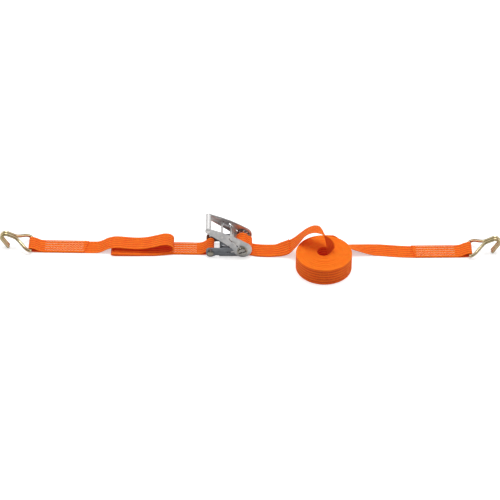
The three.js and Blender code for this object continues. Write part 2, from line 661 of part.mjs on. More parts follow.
function hook(outward, centreX, centreY) {
  const points = [...hookHalf(-1).reverse(), [0, 0, HOOK_BAR_Z], ...hookHalf(1)];
  const curve = new THREE.CatmullRomCurve3(points.map(([distance, y, z]) => new THREE.Vector3(
    centreX + outward * distance, centreY + y, z)), false, 'centripetal');
  return tubeAlong(curve, HOOK_WIRE_RADIUS, 8, 66);
}

addPiece(object, 'hook_left', hook(-1, -HOOK_BAR_X, LEFT_HOOK_Y), 'yellow_zinc');
addPiece(object, 'hook_right', hook(1, HOOK_BAR_X, RIGHT_HOOK_Y), 'yellow_zinc');

// Stand the object on its lowest point with the origin under the middle of its bounding box
object.updateMatrixWorld(true);
const bounds = new THREE.Box3().setFromObject(object, true);
const middle = bounds.getCenter(new THREE.Vector3());
object.position.set(-middle.x, -middle.y, -bounds.min.z);

export default object;
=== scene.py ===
"""Ratchet tie down: the looks of the webbing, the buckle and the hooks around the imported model.

Lengths are millimetres in the drawing's own frame (+X along the straps, +Y across them, +Z up)
until place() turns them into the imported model's metres.
"""
import math

import bmesh
import bpy
import numpy as np
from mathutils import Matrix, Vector


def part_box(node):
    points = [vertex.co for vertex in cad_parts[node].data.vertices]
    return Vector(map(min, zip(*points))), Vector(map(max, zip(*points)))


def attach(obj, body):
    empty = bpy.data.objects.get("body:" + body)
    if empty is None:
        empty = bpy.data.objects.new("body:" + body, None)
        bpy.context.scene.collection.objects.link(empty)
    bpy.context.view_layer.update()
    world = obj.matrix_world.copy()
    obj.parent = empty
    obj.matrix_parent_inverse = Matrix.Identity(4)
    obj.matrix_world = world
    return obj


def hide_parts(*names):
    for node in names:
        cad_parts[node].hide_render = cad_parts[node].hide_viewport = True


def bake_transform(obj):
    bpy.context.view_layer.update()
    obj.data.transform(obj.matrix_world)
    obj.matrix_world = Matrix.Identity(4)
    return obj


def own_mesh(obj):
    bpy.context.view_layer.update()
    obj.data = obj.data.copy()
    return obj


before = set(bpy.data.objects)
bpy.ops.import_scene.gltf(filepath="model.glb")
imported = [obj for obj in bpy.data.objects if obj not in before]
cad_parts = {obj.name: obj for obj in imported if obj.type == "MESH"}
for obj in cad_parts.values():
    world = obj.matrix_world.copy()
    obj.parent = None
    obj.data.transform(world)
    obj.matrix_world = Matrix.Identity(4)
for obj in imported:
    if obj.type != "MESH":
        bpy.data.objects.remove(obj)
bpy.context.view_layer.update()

MM = 0.001
QUARTER = math.pi / 2

# Webbing
WIDTH = 50.0
HALF_WIDTH = WIDTH / 2
THICKNESS = 2.25
LAYER_PITCH = 2.7
GROOVES = (-50 / 3, -25 / 3, 0.0, 25 / 3, 50 / 3)
GROOVE_HALF_WIDTH = 1.3
GROOVE_DEPTH = 0.5
YARN_PITCH = 1.25
PICK_PITCH = 1.5
# Height of a strap's middle where it lies flat, and of the upper layer where two are sewn together
FLAT_Z = 1.5
SEWN_Z = 3.85
# About how far apart the rows of points along a strap are
STATION = 5.0

# Stitching: zigzag rows of thread that keep clear of the sewn place's ends
STITCH_PITCH = 4.2
STITCH_SIDE = 0.85
STITCH_RISE = 0.22
STITCH_ROWS = np.linspace(-18.5, 18.5, 5)
STITCH_MARGIN = 4.0
STITCH_SAMPLES = 10
THREAD_RADIUS = 0.6

# Ratchet: the drum's axis, the strap's bolt, and places in the handle along and across its length
AXIS = (-21.0, 2.0, 22.0)
BOLT = (-107.5, 12.2)
BOLT_LOOP_RADIUS = 8.5
HANDLE_ANGLE = math.radians(34.3)
DRIVE_ANGLE = math.radians(130)
LOCK_ANGLE = math.radians(190)
GRIP_PLACE = (114.0, 4.5)
SPACER_PLACE = (72.4, 8.3)
DRIVE_REAR = 46.5
LOCK_REAR = 33.8
DRUM_SLOT_ANGLE = math.radians(20)
DRUM_STATION = 3.0
PACK_LAYERS = (11.95, 14.15, 16.35)
COTTER_Y = 38.6
COTTER_WIRE = 0.72
SPRING_WIRE = 0.5
DRIVE_SPRING_RADIUS = 2.4
DRIVE_SPRING_TURNS = 8
LOCK_SPRING_RADIUS = 2.6
LOCK_SPRING_TURNS = 9
LOCK_SPRING_SPAN = (20.4, 0.9)
CLOSED_PITCH = 1.1
CLOSED_TURNS = 0.8

# Hooks
HOOK_BAR = (598.0, 9.0)
HOOK_WIRE = 4.5
HOOK_LOOP_RADIUS = 6.1
LEFT_HOOK_Y = 14.0
RIGHT_HOOK_Y = -8.5

# Roll of spare webbing
ROLL_CENTRE = np.array([200.0, -74.0])
ROLL_HOLE = np.array([200.0, -69.0])
ROLL_CAD_RADIUS = 74.4
ROLL_FIRST_RADIUS = 19.9
ROLL_LAST_RADIUS = 75.9
ROLL_FIRST_ANGLE = 247.0
ROLL_SWEEP = 157.0 + 22 * 360.0
ROLL_STATIONS = 808
ROLL_TOP = 50.0
ROLL_BOTTOM = 0.75

# Brightness of the studio's surfaces as the object sees them, of the backdrop, and of the lit floor
TOP_GLOW = 0.62
SIDE_GLOW = 0.5
FRONT_GLOW = 0.02
BACK_GLOW = 0.5
BACKDROP = 1.1
FLOOR_GLOW = 0.5

SHIFT_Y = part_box("strap_roll")[0].y + (ROLL_CAD_RADIUS - ROLL_CENTRE[1]) * MM


def place(points):
    """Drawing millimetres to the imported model's metres."""
    return np.asarray(points, float) * MM + np.array([0.0, SHIFT_Y, 0.0])


# ---------------------------------------------------------------- materials

class Shader:
    """A node tree with short calls for adding and joining nodes."""

    def __init__(self, name):
        self.material = bpy.data.materials.new(name)
        self.material.use_nodes = True
        self.tree = self.material.node_tree
        self.surface = self.tree.nodes["Principled BSDF"]

    def add(self, kind, settings=None, **inputs):
        node = self.tree.nodes.new(kind)
        for key, value in (settings or {}).items():
            setattr(node, key, value)
        for key, value in inputs.items():
            self.feed(node.inputs[key.replace("_", " ")], value)
        return node

    def feed(self, socket, value):
        if isinstance(value, bpy.types.NodeSocket):
            self.tree.links.new(value, socket)
        else:
            socket.default_value = value

    def math(self, operation, first, second=0.0):
        node = self.add("ShaderNodeMath", {"operation": operation})
        self.feed(node.inputs[0], first)
        self.feed(node.inputs[1], second)
        return node.outputs[0]

    def mix(self, factor, first, second, blend="MIX"):
        node = self.add("ShaderNodeMix", {"data_type": "RGBA", "blend_type": blend})
        self.feed(node.inputs[0], factor)
        self.feed(node.inputs[6], first)
        self.feed(node.inputs[7], second)
        return node.outputs[2]

    def ramp(self, value, low, high, from_low=0.0, from_high=1.0):
        node = self.add("ShaderNodeMapRange", {"clamp": True}, Value=value)
        node.inputs["From Min"].default_value = from_low
        node.inputs["From Max"].default_value = from_high
        node.inputs["To Min"].default_value = low
        node.inputs["To Max"].default_value = high
        return node.outputs[0]

    def noise(self, vector, scale, detail=3.0, roughness=0.5):
        node = self.add("ShaderNodeTexNoise", None, Vector=vector, Scale=scale,
                        Detail=detail, Roughness=roughness)
        return node.outputs["Fac"]

    def object_place(self, scale=(1, 1, 1)):
        place_node = self.add("ShaderNodeTexCoord")
        mapping = self.add("ShaderNodeMapping", None, Vector=place_node.outputs["Object"])
        mapping.inputs["Scale"].default_value = scale
        return mapping.outputs[0]

    def set(self, **values):
        for key, value in values.items():
            self.feed(self.surface.inputs[key.replace("_", " ")], value)


# Bright orange dye: its colour, a darker tone for random dye patches and for painted shade in the weave's
# hollows, painted shade in the furrows, a painted highlight at the edges, and a painted red glow that lifts
# the shaded webbing towards red
ORANGE = (0.80, 0.19, 0.009, 1.0)
DARK_DYE_AND_SHADE_ORANGE = (0.58, 0.072, 0.007, 1.0)
GROOVE_SHADE_RED = (0.26, 0.018, 0.005, 1.0)
EDGE_HIGHLIGHT_ORANGE = (0.76, 0.215, 0.009, 1.0)
RED_SHADE_GLOW = 0.13


def webbing_material(name, base, dark_tone_and_shade, groove_shade_colour):
    """Woven polyester: lengthwise yarns crossed by a herringbone, with painted shade in the grooves and the
    weave's hollows, a painted highlight along the edges and a painted red glow.
    """
    shader = Shader(name)
    weave = shader.add("ShaderNodeUVMap", {"uv_map": "weave"}).outputs[0]
    parts = shader.add("ShaderNodeSeparateXYZ", None, Vector=weave)
    across, along = parts.outputs[0], parts.outputs[1]

    rows = shader.math("MULTIPLY", across, math.pi / (YARN_PITCH * MM))
    yarns = shader.math("ABSOLUTE", shader.math("SINE", rows))
    zigzag = shader.math("PINGPONG", across, WIDTH * MM / 6)
    slanted = shader.math("ADD", along, shader.math("MULTIPLY", zigzag, 1.4))
    columns = shader.math("MULTIPLY", slanted, math.pi / (PICK_PITCH * MM))
    picks = shader.math("ABSOLUTE", shader.math("SINE", columns))
    crossing = shader.math("ADD", 0.45, shader.math("MULTIPLY", picks, 0.55))
    height = shader.math("MULTIPLY", yarns, crossing)

    # Painted shade: a mask along the five grooves, kept clear of the edges
    band = shader.math("PINGPONG", across, WIDTH * MM / 12)
    groove = shader.ramp(band, 0.7, 0.0, 0.2 * MM, 1.7 * MM)
    groove_shade_mask = shader.math("MULTIPLY", groove, shader.ramp(across, 0.0, 1.0, 2 * MM, 5 * MM))
    groove_shade_mask = shader.math("MULTIPLY", groove_shade_mask, shader.ramp(across, 1.0, 0.0, 45 * MM, 48 * MM))

    patches = shader.noise(shader.object_place(), 38.0, 4.0, 0.6)
    streaks = shader.noise(shader.add("ShaderNodeMapping", None, Vector=weave,
                                      Scale=(900.0, 14.0, 1.0)).outputs[0], 1.0, 2.0)
    tone = shader.mix(shader.ramp(patches, 0.0, 0.32, 0.35, 0.7), base, dark_tone_and_shade)
    tone = shader.mix(shader.ramp(streaks, 0.0, 0.22, 0.4, 0.75), tone, dark_tone_and_shade)
    # Painted shade: darker where the weave's height is low, in the hollows between the yarns
    tone = shader.mix(shader.ramp(height, 0.6, 0.0, 0.1, 0.8), tone, dark_tone_and_shade)
    # Painted shade in the grooves
    tone = shader.mix(groove_shade_mask, tone, groove_shade_colour)
    # Painted highlight: a lighter, yellower orange along both edges, where they face the light
    from_middle = shader.math("ABSOLUTE", shader.math("SUBTRACT", across, HALF_WIDTH * MM))
    edge_highlight = shader.ramp(from_middle, 0.0, 0.7, 23.8 * MM, 24.8 * MM)
    tone = shader.mix(edge_highlight, tone, EDGE_HIGHLIGHT_ORANGE)
    shader.set(Base_Color=tone, Roughness=shader.ramp(height, 0.86, 0.66))
    shader.set(Subsurface_Weight=0.25, Subsurface_Radius=(1.0, 0.1, 0.04), Subsurface_Scale=2.0 * MM)
    shader.set(Sheen_Weight=0.04, Sheen_Roughness=0.5, Sheen_Tint=(1.0, 0.5, 0.25, 1.0),
               Specular_IOR_Level=0.1)
    # Painted red glow: the webbing gives out red light of its own, so that its shaded parts look redder
    shader.set(Emission_Color=(1.0, 0.01, 0.02, 1.0), Emission_Strength=RED_SHADE_GLOW)
    bump = shader.add("ShaderNodeBump", None, Height=height, Strength=0.9, Distance=0.35 * MM)
    shader.set(Normal=bump.outputs[0])
    return shader.material


def metal_material(name, bright, dull, roughness, grain=(1, 1, 1), rough_spread=0.12, warm=None,
                   relief=0.1):
    """Plated steel: cloudy tone, fine rolling marks and a little wear."""
    shader = Shader(name)
    spot = shader.object_place(grain)
    clouds = shader.noise(shader.object_place(), 45.0, 5.0, 0.6)
    marks = shader.noise(spot, 520.0, 2.0, 0.5)
    specks = shader.noise(shader.object_place(), 1300.0, 2.0, 0.6)
    tone = shader.mix(shader.ramp(clouds, 0.0, 1.0, 0.34, 0.66), bright, dull)
    if warm:
        hue = shader.noise(shader.object_place((1.0, 1.0, 1.3)), 26.0, 3.0, 0.5)
        tone = shader.mix(shader.ramp(hue, 0.0, 0.8, 0.42, 0.62), tone, warm)
    tone = shader.mix(shader.ramp(specks, 0.0, 0.2, 0.55, 0.8), tone, dull)
    shader.set(Base_Color=tone, Metallic=1.0)
    shader.set(Roughness=shader.ramp(marks, roughness - rough_spread, roughness + rough_spread, 0.3, 0.7))
    bump = shader.add("ShaderNodeBump", None, Height=marks, Strength=relief, Distance=0.06 * MM)
    shader.set(Normal=bump.outputs[0])
    return shader.material


def thread_material():
    """Twisted sewing thread."""
    shader = Shader("sewing_thread")
    twist = shader.add("ShaderNodeTexWave", {"wave_type": "BANDS", "bands_direction": "DIAGONAL"},
                       Vector=shader.object_place(), Scale=900.0, Distortion=1.5, Detail=2.0)
    patches = shader.noise(shader.object_place(), 160.0)
    light, dark = (0.96, 0.66, 0.42, 1.0), (0.88, 0.44, 0.22, 1.0)
    tone = shader.mix(shader.ramp(patches, 0.0, 0.8, 0.35, 0.7), light, dark)
    shader.set(Base_Color=tone, Roughness=0.6)
    shader.set(Sheen_Weight=0.2, Sheen_Roughness=0.4, Sheen_Tint=(1.0, 0.85, 0.7, 1.0))
    bump = shader.add("ShaderNodeBump", None, Height=twist.outputs["Fac"], Strength=0.4, Distance=0.1 * MM)
    shader.set(Normal=bump.outputs[0])
    return shader.material


def floor_material():
    """Pale floor, lit a little more for the camera than for the object that stands on it."""
    shader = Shader("pale_floor")
    patches = shader.noise(shader.object_place(), 3.0)
    shader.set(Base_Color=shader.mix(patches, (0.64, 0.64, 0.64, 1.0), (0.68, 0.68, 0.68, 1.0)))
    shader.set(Roughness=0.9, Specular_IOR_Level=0.1)
    seen = shader.add("ShaderNodeLightPath").outputs["Is Camera Ray"]
    shader.set(Emission_Color=(1.0, 1.0, 1.0, 1.0),
               Emission_Strength=shader.math("MULTIPLY", seen, FLOOR_GLOW))
    return shader.material


WEBBING = webbing_material("webbing_orange", ORANGE, DARK_DYE_AND_SHADE_ORANGE, GROOVE_SHADE_RED)
# Rolling marks on the folded plates: closer together upwards than along them
FINE_UPWARDS = (1, 1, 6)
HANDLE_ZINC = metal_material("zinc_handle", (0.64, 0.625, 0.61, 1), (0.43, 0.435, 0.44, 1), 0.36,
                             grain=FINE_UPWARDS, rough_spread=0.06)
# Painted shade: the frame's zinc is the handle's zinc painted darker, for the shade it sits in below the
# handle
SHADED_FRAME_ZINC = metal_material("zinc_frame_shaded", (0.25, 0.265, 0.285, 1), (0.15, 0.16, 0.175, 1), 0.36,
                            grain=FINE_UPWARDS)
# Painted light: the small parts' zinc is the handle's zinc painted lighter, to make up for the shade that
# falls on them
LIT_PART_ZINC = metal_material("zinc_parts_lit", (0.78, 0.76, 0.74, 1), (0.60, 0.585, 0.565, 1), 0.3,
                           rough_spread=0.05)
DRUM_STEEL = metal_material("drum_steel", (0.42, 0.40, 0.37, 1), (0.24, 0.23, 0.21, 1), 0.36)
GRIP_METAL = metal_material("grip_plating", (0.95, 0.94, 0.93, 1), (0.86, 0.84, 0.83, 1), 0.3,
                            rough_spread=0.05, relief=0.05)
YELLOW_ZINC = metal_material("yellow_zinc", (0.70, 0.61, 0.40, 1), (0.40, 0.32, 0.15, 1), 0.2,
                             rough_spread=0.07, warm=(0.56, 0.37, 0.22, 1))
WORN_ZINC = metal_material("worn_zinc", (0.50, 0.46, 0.38, 1), (0.27, 0.25, 0.20, 1), 0.34)
SPRING_STEEL = metal_material("spring_steel", (0.75, 0.76, 0.78, 1), (0.55, 0.56, 0.58, 1), 0.25,
                              rough_spread=0.08)
THREAD = thread_material()


# ------------------------------------------------------------- mesh helpers

def make_object(name, vertices, faces, material, sharp=35.0, uvs=None):
    """A smooth-shaded piece from drawing millimetres; edges past the sharp angle stay crisp."""
    mesh = bpy.data.meshes.new(name)
    mesh.from_pydata([tuple(v) for v in place(vertices)], [], faces)
    if uvs is not None:
        layer = mesh.uv_layers.new(name="weave")
        order = np.empty(len(mesh.loops), int)
        mesh.loops.foreach_get("vertex_index", order)
        layer.data.foreach_set("uv", (np.asarray(uvs)[order] * MM).ravel())
    finish_mesh(mesh, material, sharp)
    piece = bpy.data.objects.new(name, mesh)
    bpy.context.scene.collection.objects.link(piece)
    return piece


def finish_mesh(mesh, material, sharp):
    mesh.materials.clear()
    mesh.materials.append(material)
    mesh.polygons.foreach_set("use_smooth", [True] * len(mesh.polygons))
    mesh.set_sharp_from_angle(angle=math.radians(sharp))
    mesh.update()


def smooth(knots, spacing):
    """A curve through rows of numbers, sampled about every spacing."""
    knots = np.asarray(knots, float)
    steps = np.linalg.norm(np.diff(knots, axis=0), axis=1)
    gaps = np.sqrt(steps)
    slopes = np.diff(knots, axis=0) / gaps[:, None]
    tangents = np.empty_like(knots)
    tangents[0] = slopes[0]
    tangents[-1] = slopes[-1]
    before, after = gaps[:-1, None], gaps[1:, None]
    tangents[1:-1] = (slopes[:-1] * after + slopes[1:] * before) / (before + after)
    rows = []
    for index, step in enumerate(steps):
        count = max(1, math.ceil(step / spacing))
        gap = gaps[index]
        for t in np.arange(count) / count:
            rows.append((2 * t**3 - 3 * t**2 + 1) * knots[index]
                        + (t**3 - 2 * t**2 + t) * gap * tangents[index]
                        + (3 * t**2 - 2 * t**3) * knots[index + 1]
                        + (t**3 - t**2) * gap * tangents[index + 1])
    rows.append(knots[-1])
    return np.array(rows)


def arc(centre, radius, start, end, step=15.0):
    """Points round an arc in the X-Z plane, angles in degrees."""
    count = max(2, round(abs(end - start) / step) + 1)
    angles = np.radians(np.linspace(start, end, count))
    return [(centre[0] + radius * math.cos(a), centre[1] + radius * math.sin(a)) for a in angles]


def webbing_section():
    """Places across the webbing and its half thickness there: round edges and five grooves."""
    half = THICKNESS / 2
    rows = [(-HALF_WIDTH, 0.35 * half), (-HALF_WIDTH + 0.3, 0.8 * half), (-HALF_WIDTH + 0.9, half)]
    edge = -HALF_WIDTH
    for groove in (*GROOVES, HALF_WIDTH):
        rows.append(((edge + groove) / 2, half + 0.06))
        if groove < HALF_WIDTH:
            rows += [(groove - GROOVE_HALF_WIDTH, half), (groove, half - GROOVE_DEPTH),
                     (groove + GROOVE_HALF_WIDTH, half)]
        edge = groove
    rows += [(-place_across, thick) for place_across, thick in rows[2::-1]]
    return np.array(rows)


SECTION = webbing_section()


def slant_end(rails, length, near_shift, far_shift, at_start=False):
    """Moves the last stretch of the two edges along the strap, for a cut that isn't square."""
    order = rails[::-1] if at_start else rails
    middle = (order[:, 0:3] + order[:, 3:6]) / 2
    along = middle[-1] - middle[-2]
    along /= np.linalg.norm(along)
    left = np.linalg.norm(middle - middle[-1], axis=1)
    weight = np.clip(1 - left / length, 0, 1)[:, None]
    order[:, 0:3] += weight * near_shift * along
    order[:, 3:6] += weight * far_shift * along
    return rails


def build_strap(name, rails, lift=0.0):
    """A strip of webbing. Each row of rails is the near edge, the far edge and the bow between them."""
    near, far, bow = rails[:, 0:3], rails[:, 3:6], rails[:, 6:9]
    middle = (near + far) / 2
    along = np.gradient(middle, axis=0)
    normal = np.cross(along, far - near)
    normal /= np.linalg.norm(normal, axis=1)[:, None]
    run = np.concatenate([[0], np.cumsum(np.linalg.norm(np.diff(middle, axis=0), axis=1))])
    share = (SECTION[:, 0] + HALF_WIDTH) / WIDTH
    count = len(SECTION)
    base = (near[:, None] * (1 - share)[None, :, None] + far[:, None] * share[None, :, None]
            + bow[:, None] * (4 * share * (1 - share))[None, :, None]
            + normal[:, None] * np.broadcast_to(np.asarray(lift, float), (len(rails),))[:, None, None])
    offset = normal[:, None] * SECTION[:, 1][None, :, None]
    rings = np.concatenate([base + offset, (base - offset)[:, ::-1]], axis=1)
    uv_across = np.concatenate([SECTION[:, 0], SECTION[::-1, 0]]) + HALF_WIDTH
    uvs = np.stack([np.tile(uv_across, len(rails)), np.repeat(run, 2 * count)], axis=1)
    size = 2 * count
    faces = []
    for ring in range(len(rails) - 1):
        for side in range(size):
            a, b = ring * size + side, ring * size + (side + 1) % size
            faces.append((a, a + size, b + size, b))
    last = (len(rails) - 1) * size
    for side in range(count - 1):
        faces.append((side, side + 1, size - 2 - side, size - 1 - side))
        faces.append((last + side, last + size - 1 - side, last + size - 2 - side, last + side + 1))
    piece = make_object(name, rings.reshape(-1, 3), faces, WEBBING, 50.0, uvs)
    return piece, run[-1]


def sweep(name, path, radius, sides, material, tip=0.0):
    """A round wire along a path of points. A tip above zero chamfers both ends by that much."""
    path = np.asarray(path, float)
    along = np.gradient(path, axis=0)
    along /= np.linalg.norm(along, axis=1)[:, None]
    side = np.cross(along[0], (0.31, 0.52, 0.79))
    side /= np.linalg.norm(side)
    radii = np.full(len(path), radius)
    if tip:
        radii[[0, -1]] -= tip
    rings = []
    angles = np.linspace(0, 2 * math.pi, sides, endpoint=False)
    for point, direction, size in zip(path, along, radii):
        side = side - direction * side.dot(direction)
        side /= np.linalg.norm(side)
        other = np.cross(direction, side)
        rings.append(point + size * (np.cos(angles)[:, None] * side + np.sin(angles)[:, None] * other))
    vertices = np.concatenate([*rings, [path[0], path[-1]]])
    faces = []
    for ring in range(len(path) - 1):
        for k in range(sides):
            a, b = ring * sides + k, ring * sides + (k + 1) % sides
            faces.append((a, b, b + sides, a + sides))
    last = (len(path) - 1) * sides
    start_point, end_point = len(path) * sides, len(path) * sides + 1
    for k in range(sides):
        faces.append((start_point, (k + 1) % sides, k))
        faces.append((end_point, last + k, last + (k + 1) % sides))
    return make_object(name, vertices, faces, material)


def turned(name, centre, profile, material, sides=48, closed=False):
    """A shape turned about an axis along Y: profile rows are (y, radius) from one end to the other."""
    angles = np.linspace(0, 2 * math.pi, sides, endpoint=False)
    vertices, faces = [], []
    for y, radius in profile:
        for angle in angles:
            vertices.append((centre[0] + radius * math.cos(angle), AXIS[1] + y,
                             centre[1] + radius * math.sin(angle)))
    rings = len(profile)
    for ring in range(rings if closed else rings - 1):
        following = (ring + 1) % rings
        for k in range(sides):
            following_k = (k + 1) % sides
            faces.append((ring * sides + k, following * sides + k,
                          following * sides + following_k, ring * sides + following_k))
    if not closed:
        faces.append(tuple(range(sides)))
        faces.append(tuple(reversed(range((rings - 1) * sides, rings * sides))))
    return make_object(name, vertices, faces, material)


WELD_DISTANCE = 2e-6
FLAT_ANGLE = math.radians(1.5)
CORNER_ANGLE = math.radians(32)


def softened(node, material, width):
    """A copy of a CAD node's shape with its sharp edges rounded off."""
    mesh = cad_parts[node].data.copy()
    mesh.name = node + "_finish"
    work = bmesh.new()
    work.from_mesh(mesh)
    bmesh.ops.remove_doubles(work, verts=work.verts, dist=WELD_DISTANCE)
    bmesh.ops.dissolve_limit(work, angle_limit=FLAT_ANGLE, verts=work.verts, edges=work.edges)
    corners = [e for e in work.edges if e.is_manifold and e.calc_face_angle(0.0) > CORNER_ANGLE]
    bmesh.ops.bevel(work, geom=corners, offset=width * MM, offset_type="OFFSET", segments=2,
                    profile=0.5, affect="EDGES", clamp_overlap=True)
    bmesh.ops.recalc_face_normals(work, faces=work.faces)
    work.to_mesh(mesh)
    work.free()
    finish_mesh(mesh, material, 40.0)
    piece = bpy.data.objects.new(node + "_finish", mesh)
    bpy.context.scene.collection.objects.link(piece)
    return piece


def adopt(piece, body, slot, *nodes):
    """Fixes a piece to a body and hides the CAD nodes that it stands for. The slot is not used."""
    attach(piece, body)
    if nodes:
        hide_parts(*nodes)
    return piece


# ------------------------------------------------------------------- camera

CAMERA_ELEVATION = math.radians(38.7)
CAMERA_DISTANCE = 6.0
CAMERA_LENS = 158.0
CAMERA_SENSOR = 36.0


def make_camera():
    data = bpy.data.cameras.new("camera")
    data.lens = CAMERA_LENS
    data.sensor_width = CAMERA_SENSOR
    camera = bpy.data.objects.new("camera", data)
    bpy.context.scene.collection.objects.link(camera)
    camera.location = (0.0, SHIFT_Y - CAMERA_DISTANCE * math.cos(CAMERA_ELEVATION),
                       CAMERA_DISTANCE * math.sin(CAMERA_ELEVATION))
    camera.rotation_euler = (QUARTER - CAMERA_ELEVATION, 0.0, 0.0)
    bpy.context.scene.camera = camera


make_camera()


# ------------------------------------------------------------------ webbing

def flat_rails(centreline, centre_y, spacing=STATION):
    """Edges of a strap that lies across the X-Z plane; centre_y gives its middle from x."""
    rows = smooth(centreline, spacing)
    middle = centre_y(rows[:, 0])
    zeros = np.zeros(len(rows))
    return np.stack([rows[:, 0], middle - HALF_WIDTH, rows[:, 1],
                     rows[:, 0], middle + HALF_WIDTH, rows[:, 1], zeros, zeros, zeros], axis=1)


def short_strap_y(x):
    """Middle of the short strap, on a line from the left hook to the bolt."""
    slope = (AXIS[1] - LEFT_HOOK_Y) / (BOLT[0] + HOOK_BAR[0])
    return AXIS[1] + slope * (x - BOLT[0])


def fold_drift(x):
    """How far the fold's two lower layers lie off the strap's line, towards -Y."""
    return np.interp(x, *zip(*FOLD_DRIFT))


def sewn_strap_y(x):
    """Middle of the short strap's lower layers, where the buckle's loop is sewn."""
    return short_strap_y(x) - fold_drift(x)


RIGHT_LOOP_SLOPE = 0.0123


def right_loop_y(x):
    """Middle of the long strap where it runs up to the right hook."""
    return RIGHT_HOOK_Y + RIGHT_LOOP_SLOPE * (x - HOOK_BAR[0])


LEFT_SEWN = (-568.0, -442.0)
BUCKLE_SEWN = (-252.0, -136.0)
RIGHT_SEWN = (443.0, 568.0)

SHORT_STRAP = [
    (LEFT_SEWN[1], SEWN_Z), (-460, SEWN_Z), (-500, SEWN_Z), (-540, SEWN_Z), (-564, SEWN_Z + 0.1),
    (-574, 5.6), (-585, 11.2),
    *arc((-HOOK_BAR[0], HOOK_BAR[1]), HOOK_LOOP_RADIUS, 74, 275),
    (-586, 2.3), (-570, FLAT_Z), (-525, FLAT_Z), (-480, FLAT_Z), (-450, FLAT_Z), (-428, FLAT_Z),
    (-414, 2.6), (-400, 9), (-388, 16), (-372, 20.6), (-355, 21), (-328, 18.6), (-300, 18.2),
    (-275, 22), (-250, 29.2), (-233, 33.6), (-219, 32.2), (-209.4, 24), (-209.4, 14), (-218, 7.6),
    (-235, 6.8), (-255, 7.2), (-285, 9.6), (-320, 12.8), (-350, 14.4), (-366, 13.8), (-377.6, 9.4),
    (-377, 4.2), (-368, 1.8), (-352, FLAT_Z), (-310, FLAT_Z), (-250, FLAT_Z), (-190, FLAT_Z),
    (-136, FLAT_Z), (-122, 2.1),
    *arc(BOLT, BOLT_LOOP_RADIUS, 265, 478),
    (-120, 12.5), (-128, 6.6), (-138, SEWN_Z), (-165, SEWN_Z), (-190, SEWN_Z), (-220, SEWN_Z),
    (BUCKLE_SEWN[0], SEWN_Z),
]

# The fold: the height that parts its lower layers from its top one, the height below which nothing
# droops, and how far the near edge droops and the lower layers drift along X
FOLD_MIDDLE_Z = 16.0
FOLD_REST_Z = 4.6
FOLD_DROOP = [(-384, 0), (-379, 3.5), (-366, 7), (-350, 9), (-300, 6), (-260, 3), (-225, 1), (-212, 0)]
FOLD_DRIFT = [(-384, 0), (-379, 11.4), (-306, 9.8), (-257, 8), (-225, 3), (-212, 0.6), (-190, 0)]

# Where the laden layer and the cut tail leave the drum together: x, middle y and z
EXIT_CENTRE = [
    (-12, 1.3, 2.95), (2, -0.4, 2.95), (13, -3.6, 2.95), (24, -5.6, 2.95), (40, -6.8, 2.95),
    (56, -7.2, 3.1), (71, -7.6, 4.6),
]
# Angle and radius about the drum where the strap comes up round its left side, how far along it eases
# out of the winding, and where a slack turn stands off the right side
DRUM_WRAP = [(-172, 16.4), (-158, 17.3), (-142, 18.5), (-124, 19.05), (-108, 19.05)]
DRUM_TUCK = 16.0
LOOSE_TURN = [
    (26, 15.2), (20, 16.6), (15.5, 19.2), (10, 22.4), (1, 25.2), (-10, 26.2), (-22, 25.6),
    (-35, 23.2), (-48, 20.0), (-60, 17.2), (-72, 15.4),
]

# The laden layer lies half a layer low as far as the cut tail above it goes
TAIL_END_X = 150.0
TAIL_EASE = 40.0

# Near and far edges of the long strap up its arch, down into the roll with the bow between them, and
# from the roll's outside to the flat
ARCH = [
    ((83, -33, 6.0), (83, 17, 10.9)),
    ((103, -34.6, 13.8), (103, 14.6, 22.2)),
    ((119.6, -38.6, 35.8), (122.5, 10.8, 38)),
    ((127.8, -40, 48), (132, 8.5, 49)),
    ((137.6, -43, 66), (142, 5.5, 60.5)),
    ((147.4, -46, 82.7), (152.5, 2, 72.5)),
    ((160, -51, 96.5), (165.4, -3.5, 85)),
    ((174, -57, 104.6), (177, -10, 93)),
]
PLUNGE = [
    ((187.8, -63, 106.6), (187.8, -17.5, 95.6), (0, 0, 0)),
    ((199, -65.5, 103.3), (197, -24, 84), (0, 0, 0)),
    ((208, -66.5, 98.8), (202.5, -33.5, 69), (0, 0, 0)),
    ((221, -68, 87.5), (206, -46, 57), (-1, -1, 1)),
    ((227, -68, 73.7), (208, -51.6, 40), (-2, -1, 2)),
    ((228.2, -67, 63), (211.5, -54.6, 20), (-3, -1, 4)),
    ((224.8, -69.5, 55.5), (215.3, -60, 6), (-4, -1, 5)),
    ((218.6, -76, 51.2), (218, -70, 1.2), (-2, 0, 3)),
    ((210.5, -84, 50.2), (212, -83.2, 0.5), (0, 0, 0)),
    ((199.8, -88.4, 50), (200, -88.4, 0.3), (0, 0, 0)),
]
TURN = [
    ((215, 1.9, 50), (215, 1.9, 0.2)),
    ((230, 0.5, 49.4), (230, 3.3, 0.4)),
    ((243, -8, 44), (243, 9.6, 1.2)),
    ((260, -20.6, 33), (260, 18.4, 1.7)),
    ((278, -24.4, 22.6), (278, 21.4, 1.6)),
    ((300, -25.9, 14.6), (300, 22.2, 1.5)),
    ((322, -26.8, 7.2), (322, 22.5, 1.6)),
    ((340, -27.4, 3), (340, 22.4, 1.6)),
    ((358, -27.9, 1.7), (358, 22, 1.6)),
    ((385, -31, FLAT_Z), (385, 19, FLAT_Z)),
    ((415, -33.8, FLAT_Z), (415, 16.2, FLAT_Z)),
]
